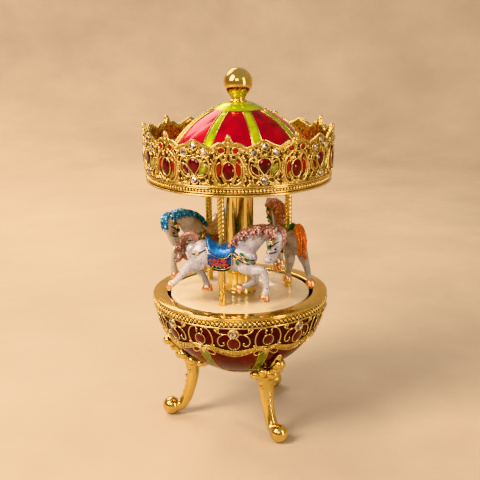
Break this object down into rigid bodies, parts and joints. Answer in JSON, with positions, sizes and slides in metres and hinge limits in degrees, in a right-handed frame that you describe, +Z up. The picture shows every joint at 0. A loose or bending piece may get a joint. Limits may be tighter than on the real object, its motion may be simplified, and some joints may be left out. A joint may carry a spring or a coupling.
{
  "type": "wind up music box",
  "caption": "Egg-shaped wind-up carousel music box on curved legs; a recessed key below winds the movement that turns the column, horses, canopy and finial.",
  "frame": {"origin": "on the floor, on the axis the carousel turns about", "axes": "+Z up along the carousel's axis, -Y towards the front, +X to the viewer's right"},
  "size_m": [0.0862, 0.0862, 0.1658],
  "materials": {
    "gold": "polished gold plate",
    "red_enamel": "translucent ruby enamel over metal, glossy",
    "pearl_disc": "pearl lacquer, glossy",
    "horse_front": "pearl paint with glitter",
    "horse_right": "pearl paint with glitter",
    "horse_left": "pearl paint with glitter",
    "movement_brass": "turned, satin",
    "spring_steel": "blued spring steel",
    "movement_plate": "nickel plated, satin",
    "steel": "bright steel"
  },
  "bodies": {
    "base": {"leg_left": "gold", "leg_front_right": "gold", "leg_back_right": "gold", "leg_screw_left": "steel", "leg_screw_front_right": "steel", "leg_screw_back_right": "steel", "bowl_shell": "red_enamel", "bowl_filigree_band": "gold", "rim_ring": "gold", "key_well": "movement_brass", "movement_bedplate": "movement_plate", "bedplate_screw_1": "steel", "bedplate_screw_2": "steel", "bedplate_screw_3": "steel", "movement_bridge": "movement_plate", "bridge_pillar_front": "movement_brass", "bridge_pillar_back": "movement_brass", "clutch_spring": "steel", "steel_comb": "steel", "comb_riser": "movement_plate", "comb_screw_1": "steel", "comb_screw_2": "steel", "drum_bearing_inner": "movement_plate", "drum_bearing_outer": "movement_plate", "governor_bracket": "movement_plate"},
    "carousel": {"spring_barrel": "movement_brass", "crown_wheel": "movement_brass", "output_post": "steel", "mainspring": "spring_steel", "turntable_hub": "movement_brass", "turntable_disc": "pearl_disc", "tie_rod": "steel", "central_column": "gold", "pole_front": "gold", "pole_right": "gold", "pole_left": "gold", "pole_nut_front": "movement_brass", "pole_nut_right": "movement_brass", "pole_nut_left": "movement_brass", "horse_front": "horse_front", "horse_right": "horse_right", "horse_left": "horse_left", "canopy_ceiling": "gold", "canopy_dome": "red_enamel", "crown_base_ring": "gold", "crown_filigree_band": "gold", "finial_cup": "gold", "finial_ball": "gold"},
    "tune_drum": {"drum_gear": "movement_brass", "drum_shaft": "steel", "pinned_drum": "movement_brass"},
    "governor_wheel_set": {"governor_pinion": "movement_brass", "governor_wheel": "movement_brass", "governor_shaft": "steel"},
    "governor_worm_set": {"governor_worm": "steel", "governor_fan": "movement_brass"},
    "winding_set": {"winding_arbor": "steel", "winding_key": "gold"}
  },
  "joints": [
    {"name": "carousel_spin", "type": "hinge", "parent": "base", "child": "carousel", "pos_m": [0, 0, 0.0625], "axis": [0, 0, 1], "continuous": true},
    {"name": "tune_drum_spin", "type": "hinge", "parent": "base", "child": "tune_drum", "pos_m": [0.0218, 0, 0.0529], "axis": [1, 0, 0], "continuous": true},
    {"name": "governor_wheel_spin", "type": "hinge", "parent": "base", "child": "governor_wheel_set", "pos_m": [-0.018, 0, 0.0505], "axis": [1, 0, 0], "continuous": true},
    {"name": "governor_worm_spin", "type": "hinge", "parent": "base", "child": "governor_worm_set", "pos_m": [-0.018, 0.0056, 0.0505], "axis": [0, 0, 1], "continuous": true},
    {"name": "winding_key_turn", "type": "hinge", "parent": "base", "child": "winding_set", "pos_m": [0, 0, 0.027], "axis": [0, 0, 1], "continuous": true}
  ],
  "couplings": [
    {"joint": "tune_drum_spin", "follows": "carousel_spin", "ratio": 2.5},
    {"joint": "governor_wheel_spin", "follows": "carousel_spin", "ratio": -5},
    {"joint": "governor_worm_spin", "follows": "carousel_spin", "ratio": 100}
  ]
}
